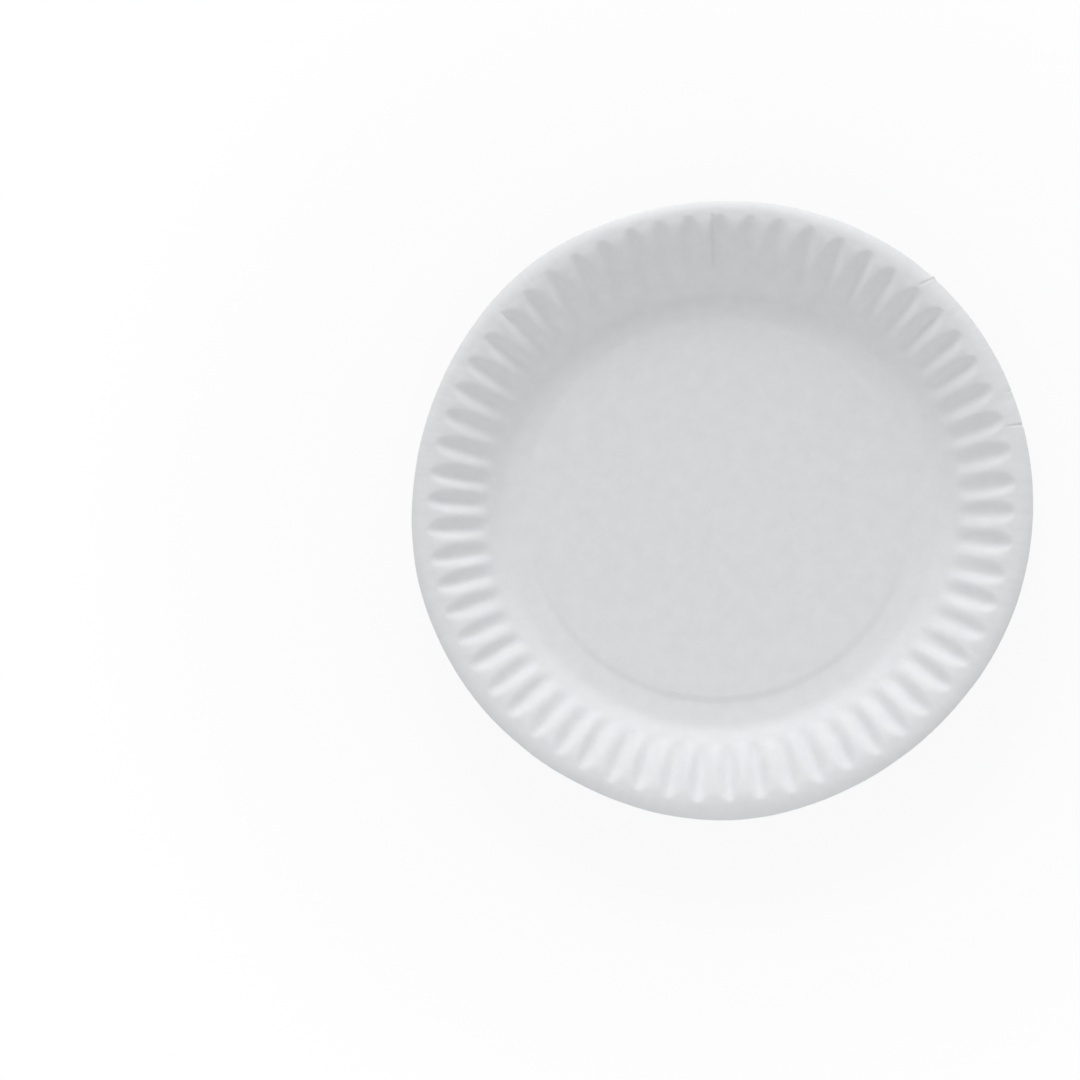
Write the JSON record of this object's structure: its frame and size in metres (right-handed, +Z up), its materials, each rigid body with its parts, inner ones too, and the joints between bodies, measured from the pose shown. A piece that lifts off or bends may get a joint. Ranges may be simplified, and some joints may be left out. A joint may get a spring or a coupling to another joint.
{
  "type": "paper plate",
  "caption": "Round disposable plate of pressed white paper board, with a flat creased well, a fluted wall and a plain turned-down brim.",
  "frame": {"origin": "centre of the underside of the flat well, on the surface that the plate lies on", "axes": "+Z up out of the well, square to the rim; X and Y lie in the plane of the rim, with +Y to the top of the picture and +X to its right"},
  "size_m": [0.23, 0.23, 0.018],
  "materials": {
    "paper_board": "matte uncoated white board with a faint felt texture"
  },
  "bodies": {
    "root": {"plate": "paper_board"}
  },
  "joints": []
}
